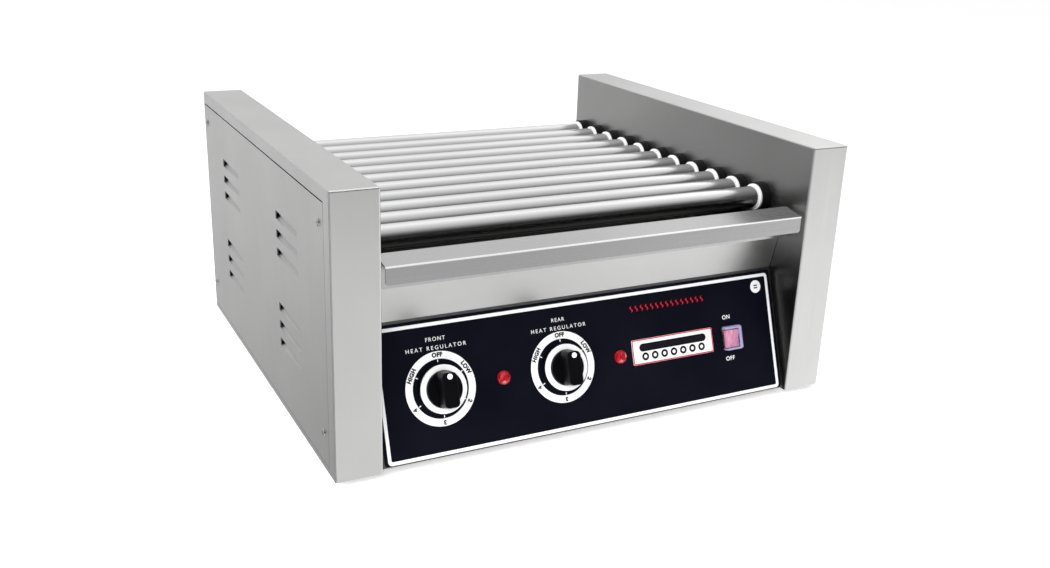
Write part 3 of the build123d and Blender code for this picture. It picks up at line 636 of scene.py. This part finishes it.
def make_materials():
    """One finish for each of the record's material slots."""
    steel = (0.66, 0.66, 0.655)
    return {
        "roller_steel": roller_steel(),
        "sprocket_steel": oiled_steel("sprocket_steel", (0.42, 0.41, 0.40), 0.35),
        "chain_steel": oiled_steel("chain_steel", (0.30, 0.29, 0.28), 0.40),
        "inner_steel": brushed_steel("inner_steel", (0.52, 0.52, 0.53), 0.48, "Y"),
        "motor_paint": moulded_plastic("motor_paint", (0.02, 0.02, 0.022), 0.38),
        "cast_alloy": moulded_plastic("cast_alloy", (0.42, 0.42, 0.43), 0.5, 0.25),
        "element_sheath": heated_sheath(),
        "casing_steel": casing_steel(steel),
        "side_panel_steel": side_panel_steel((0.655, 0.655, 0.65)),
        "rear_panel_steel": brushed_steel("rear_panel_steel", (0.60, 0.60, 0.60), 0.38, "X"),
        "deck_steel": brushed_steel("deck_steel", (0.40, 0.40, 0.40), 0.42, "X"),
        "fascia_steel": brushed_steel("fascia_steel", (0.60, 0.60, 0.595), 0.34, "X"),
        "tray_steel": tray_steel((0.50, 0.50, 0.50)),
        "overlay_print": printed_overlay(),
        "black_plastic": moulded_plastic("black_plastic", (0.006, 0.006, 0.007), 0.42, 0.08, 0.2),
        "white_plastic": moulded_plastic("white_plastic", (0.70, 0.69, 0.66), 0.45),
        "white_ptfe": moulded_plastic("white_ptfe", (0.86, 0.86, 0.85), 0.35, 0.03),
        "knob_black": moulded_plastic("knob_black", (0.003, 0.003, 0.004), 0.34, 0.04, 0.1),
        "knob_ring_silver": spun_silver(),
        "lens_red": red_lens(),
        "switch_black": moulded_plastic("switch_black", (0.010, 0.010, 0.012), 0.28),
        "rocker_red": rocker_red(),
        "boot_clear": clear_boot(),
        "badge_white": ink("badge_white", (0.86, 0.86, 0.85)),
        "foot_rubber": foot_rubber(),
        "screw_steel": oiled_steel("screw_steel", (0.72, 0.72, 0.72), 0.25),
    }


# ---------------------------------------------------------------- finishes on the CAD nodes

# Edge widths in millimetres.
BEVELS = {
    "front_fascia": 0.5,
    "drip_tray": 1.0,
    "left_side_panel": 0.25,
    "right_side_panel": 0.25,
    "rear_panel": 0.3,
    "base_pan": 0.3,
    "tray_deck": 0.3,
    "control_overlay": 0.12,
    "badge_plate": 0.2,
    "front_knob": 0.5,
    "rear_knob": 0.5,
    "pilot_lamp_lenses": 0.25,
    "switch_housing": 0.4,
    "switch_rocker": 0.5,
    "seal_rings": 0.6,
    "bearing_caps": 0.8,
    "motor_gearbox": 0.8,
    "motor_bracket": 0.3,
    "drive_motor": 0.6,
    "terminal_block": 0.5,
    "rubber_feet": 0.3,
    "cord_gland": 0.3,
}


def finish_cad_nodes(materials):
    """Give every node its material and, where its edges show, a small bevel."""
    slots = {entry["node"]: entry["material_slot"] for entry in frame["record"]["subparts"]}
    for name, node in nodes.items():
        node.data.materials.clear()
        node.data.materials.append(materials[slots[name]])
        if name in BEVELS:
            bevel = node.modifiers.new("edge", "BEVEL")
            bevel.width = BEVELS[name] * MM
            bevel.segments = 2
            bevel.limit_method = "ANGLE"
            bevel.angle_limit = math.radians(28)
            bevel.harden_normals = True


# ---------------------------------------------------------------- printed artwork

PRINT_LIFT = 0.06 * MM
PRINT_THICKNESS = 0.05 * MM
OVER_PRINT = OVERLAY_THICKNESS + PRINT_LIFT + PRINT_THICKNESS
CIRCLE_STEPS = 128
SMALL_CIRCLE_STEPS = 48

# Places on the panel: x is across the object, and s is up the slope from the panel's foot.
BORDER_LOW_S = 1.4 * MM
BORDER_HIGH_S = 135.2 * MM
BORDER_INSET = 3.5 * MM
BORDER_LINE = 3.5 * MM

DIAL_OUTER = 37.7 * MM
DIAL_INNER = 30 * MM
DIAL_LABEL_RADIUS = 33.9 * MM
DIAL_LABEL_HEIGHT = 4.2 * MM
DIAL_LABELS = ("OFF", "LOW", "2", "3", "4", "HIGH")
DIAL_STEP = 60
TICK_INNER = 26.8 * MM
TICK_OUTER = 29.3 * MM
TICK_HALF_WIDTH = 0.5 * MM
DOT_RADIUS = 2.8 * MM
DOT_REACH = 13.6 * MM
DOT_HEIGHT = 28.45 * MM

TITLE_HEIGHT = 4.0 * MM
UPPER_TITLE_S = 118 * MM
LOWER_TITLE_S = 109.3 * MM
SWITCH_LABEL_HEIGHT = 4.6 * MM
SWITCH_LABEL_SHIFT = 2.4 * MM
SWITCH_LABELS = (("ON", 91.5 * MM), ("OFF", 44.4 * MM))

HEAT_MARKS = 15
HEAT_MARK_FIRST_X = 53.5 * MM
HEAT_MARK_LAST_X = 146.5 * MM
HEAT_MARK_S = 117 * MM
ROUND_MARK_X = 223 * MM
ROUND_MARK_S = 121 * MM

BADGE_HEIGHT = 27.5 * MM
BADGE_ROLLERS = 7
BADGE_ROLLER_PITCH = 12.4 * MM


def add_piece(name, mesh, material, body="root"):
    """Put a mesh in the scene as a named piece that rides on a body."""
    mesh.materials.append(material)
    piece = bpy.data.objects.new(name, mesh)
    scene.collection.objects.link(piece)
    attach(piece, body)


def outline_solid(name, outline, thickness, holes=()):
    """A flat plate from an outline, with holes, as a closed mesh standing on local Z 0."""
    curve = bpy.data.curves.new(name, "CURVE")
    curve.dimensions = "2D"
    curve.fill_mode = "BOTH"
    curve.extrude = thickness / 2
    for loop in (outline, *holes):
        spline = curve.splines.new("POLY")
        spline.points.add(len(loop) - 1)
        for point, (x, y) in zip(spline.points, loop):
            point.co = (x, y, 0, 1)
        spline.use_cyclic_u = True
    return curve_to_mesh(name, curve, thickness / 2)


def curve_to_mesh(name, curve, lift):
    """A closed mesh from a filled curve, raised along its local Z."""
    holder = bpy.data.objects.new(name + "_curve", curve)
    scene.collection.objects.link(holder)
    bpy.context.view_layer.update()
    graph = bpy.context.evaluated_depsgraph_get()
    mesh = bpy.data.meshes.new_from_object(holder.evaluated_get(graph))
    mesh.name = name
    bpy.data.objects.remove(holder)
    mesh.materials.clear()
    mesh.transform(Matrix.Translation((0, 0, lift)))
    weld_mesh(mesh)
    return mesh


def weld_mesh(mesh):
    work = bmesh.new()
    work.from_mesh(mesh)
    bmesh.ops.remove_doubles(work, verts=work.verts, dist=1e-7)
    bmesh.ops.recalc_face_normals(work, faces=work.faces)
    work.to_mesh(mesh)
    work.free()


def circle(radius, steps=CIRCLE_STEPS):
    turns = [2 * math.pi * i / steps for i in range(steps)]
    return [(radius * math.cos(t), radius * math.sin(t)) for t in turns]


def rounded_rectangle(width, height, radius, steps=8):
    points = []
    corners = ((1, 1, 0), (-1, 1, 90), (-1, -1, 180), (1, -1, 270))
    for side_x, side_y, start in corners:
        centre = (side_x * (width / 2 - radius), side_y * (height / 2 - radius))
        for i in range(steps + 1):
            turn = math.radians(start + 90 * i / steps)
            points.append((centre[0] + radius * math.cos(turn), centre[1] + radius * math.sin(turn)))
    return points


def put_on_panel(mesh, x, s, height=OVERLAY_THICKNESS + PRINT_LIFT):
    mesh.transform(panel_matrix(x, s, height))
    return mesh


def text_mesh(name, words, height, spacing, weight):
    """Generic block lettering as a thin closed mesh, centred on its own origin."""
    curve = bpy.data.curves.new(name, "FONT")
    curve.body = words
    curve.size = height / 0.70
    curve.align_x = "CENTER"
    curve.align_y = "CENTER"
    curve.space_character = spacing
    curve.extrude = PRINT_THICKNESS / 2
    curve.offset = height * weight
    return curve_to_mesh(name, curve, PRINT_THICKNESS / 2)


def print_border(white):
    """The white line round the overlay."""
    centre = (overlay_low.x + overlay_high.x) / 2
    width = overlay_high.x - overlay_low.x - 2 * BORDER_INSET
    height = BORDER_HIGH_S - BORDER_LOW_S
    outer = rounded_rectangle(width, height, 4.0 * MM)
    inner = rounded_rectangle(width - 2 * BORDER_LINE, height - 2 * BORDER_LINE, 1.6 * MM)
    mesh = outline_solid("print_border", outer, PRINT_THICKNESS, [inner])
    middle_s = (BORDER_LOW_S + BORDER_HIGH_S) / 2
    add_piece("print_border", put_on_panel(mesh, centre, middle_s), white)


def print_dial(place, x, white, black):
    """The dial ring round one knob, with its marks and its labels."""
    ring_name = f"{place}_dial_ring"
    ring = outline_solid(ring_name, circle(DIAL_OUTER), PRINT_THICKNESS, [circle(DIAL_INNER)])
    add_piece(ring_name, put_on_panel(ring, x, CONTROL_S), white)
    tick_outline = [
        (-TICK_HALF_WIDTH, TICK_INNER),
        (TICK_HALF_WIDTH, TICK_INNER),
        (TICK_HALF_WIDTH, TICK_OUTER),
        (-TICK_HALF_WIDTH, TICK_OUTER),
    ]
    for step, label in enumerate(DIAL_LABELS):
        turn = Matrix.Rotation(math.radians(-DIAL_STEP * step), 4, "Z")
        tick_name = f"{place}_dial_tick_{step}"
        tick = outline_solid(tick_name, tick_outline, PRINT_THICKNESS)
        tick.transform(turn)
        add_piece(tick_name, put_on_panel(tick, x, CONTROL_S), white)
        label_name = f"{place}_dial_label_{step}"
        word = text_mesh(label_name, label, DIAL_LABEL_HEIGHT, 1.1, 0.09)
        word.transform(turn @ Matrix.Translation((0, DIAL_LABEL_RADIUS, 0)))
        add_piece(label_name, put_on_panel(word, x, CONTROL_S, OVER_PRINT), black)


def print_titles(white):
    """Two plain words over each dial."""
    for place, x in (("front", FRONT_DIAL_X), ("rear", REAR_DIAL_X)):
        upper = text_mesh(f"{place}_title", place.upper(), TITLE_HEIGHT, 1.25, 0.0)
        add_piece(f"{place}_title", put_on_panel(upper, x, UPPER_TITLE_S), white)
        lower = text_mesh(f"{place}_subtitle", "HEAT REGULATOR", TITLE_HEIGHT, 1.45, 0.0)
        add_piece(f"{place}_subtitle", put_on_panel(lower, x, LOWER_TITLE_S), white)


def print_switch_labels(white):
    """On and off, above and below the switch."""
    x = joint_point("rocker_tilt").x - SWITCH_LABEL_SHIFT
    for word, s in SWITCH_LABELS:
        name = f"switch_label_{word.lower()}"
        mesh = text_mesh(name, word, SWITCH_LABEL_HEIGHT, 1.1, 0.018)
        add_piece(name, put_on_panel(mesh, x, s), white)


def wave_outline(length, swing, line):
    """One wave of a stroke that stands up the slope, thickest at its middle."""
    steps = 40
    left, right = [], []
    for i in range(steps + 1):
        t = i / steps
        across = swing * math.sin(2 * math.pi * t)
        taper = line * (0.55 + 0.45 * math.sin(math.pi * t))
        left.append((across - taper / 2, (t - 0.5) * length))
        right.append((across + taper / 2, (t - 0.5) * length))
    return left + right[::-1]


def print_heat_marks(red):
    """A row of plain wavy marks that says hot without words."""
    span = HEAT_MARK_LAST_X - HEAT_MARK_FIRST_X
    for i in range(HEAT_MARKS):
        x = HEAT_MARK_FIRST_X + span * i / (HEAT_MARKS - 1)
        name = f"heat_mark_{i + 1:02d}"
        mesh = outline_solid(name, wave_outline(6.4 * MM, 1.2 * MM, 1.7 * MM), PRINT_THICKNESS)
        add_piece(name, put_on_panel(mesh, x, HEAT_MARK_S), red)


def print_round_mark(white, black):
    """A plain disc with two bars near the overlay's top right corner."""
    disc = outline_solid("round_mark", circle(7.3 * MM), PRINT_THICKNESS)
    add_piece("round_mark", put_on_panel(disc, ROUND_MARK_X, ROUND_MARK_S), white)
    bar = rounded_rectangle(5.2 * MM, 1.5 * MM, 0.7 * MM)
    for i, shift in enumerate((-1.4 * MM, 1.4 * MM)):
        name = f"round_mark_bar_{i + 1}"
        mesh = outline_solid(name, bar, PRINT_THICKNESS)
        add_piece(name, put_on_panel(mesh, ROUND_MARK_X, ROUND_MARK_S + shift, OVER_PRINT), black)


def print_badge(red, black):
    """The badge's red edge and a plain sausage-on-rollers pictogram."""
    low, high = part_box("badge_plate")
    x = (low.x + high.x) / 2
    s = slope_of((low + high) / 2)
    width = high.x - low.x
    lift = OVERLAY_THICKNESS + BADGE_THICKNESS + PRINT_LIFT
    edge = outline_solid(
        "badge_edge",
        rounded_rectangle(width - 0.4 * MM, BADGE_HEIGHT - 0.4 * MM, 1.4 * MM),
        PRINT_THICKNESS,
        [rounded_rectangle(width - 2.8 * MM, BADGE_HEIGHT - 2.8 * MM, 0.9 * MM)],
    )
    add_piece("badge_edge", put_on_panel(edge, x, s, lift), red)
    sausage_outline = rounded_rectangle(88 * MM, 8.6 * MM, 4.2 * MM, 12)
    sausage = outline_solid("badge_sausage", sausage_outline, PRINT_THICKNESS)
    add_piece("badge_sausage", put_on_panel(sausage, x, s + 4.4 * MM, lift), black)
    roller_rim = circle(4.4 * MM, SMALL_CIRCLE_STEPS)
    roller_bore = circle(2.0 * MM, SMALL_CIRCLE_STEPS)
    for i in range(BADGE_ROLLERS):
        name = f"badge_roller_{i + 1}"
        mesh = outline_solid(name, roller_rim, PRINT_THICKNESS, [roller_bore])
        shift = (i - (BADGE_ROLLERS - 1) / 2) * BADGE_ROLLER_PITCH
        add_piece(name, put_on_panel(mesh, x + shift, s - 5.6 * MM, lift), black)


def knob_dots(white):
    """The inlaid pointer dot near the end of each grip bar."""
    for place, x in (("front", FRONT_DIAL_X), ("rear", REAR_DIAL_X)):
        dot = outline_solid(f"{place}_knob_dot", circle(DOT_RADIUS, SMALL_CIRCLE_STEPS), 0.25 * MM)
        mesh = put_on_panel(dot, x, CONTROL_S + DOT_REACH, DOT_HEIGHT)
        add_piece(f"{place}_knob_dot", mesh, white, f"{place}_knob")


def print_artwork():
    white = ink("ink_white", (0.90, 0.90, 0.91))
    black = ink("ink_black", (0.006, 0.006, 0.010))
    red = ink("ink_red", (0.62, 0.010, 0.030))
    print_border(white)
    print_dial("front", FRONT_DIAL_X, white, black)
    print_dial("rear", REAR_DIAL_X, white, black)
    print_titles(white)
    print_switch_labels(white)
    print_heat_marks(red)
    print_round_mark(white, black)
    print_badge(red, black)
    knob_dots(white)


# ---------------------------------------------------------------- build

scene.view_settings.view_transform = "Standard"
make_camera()
make_world()
make_floor()
make_lights()
finish_cad_nodes(make_materials())
print_artwork()
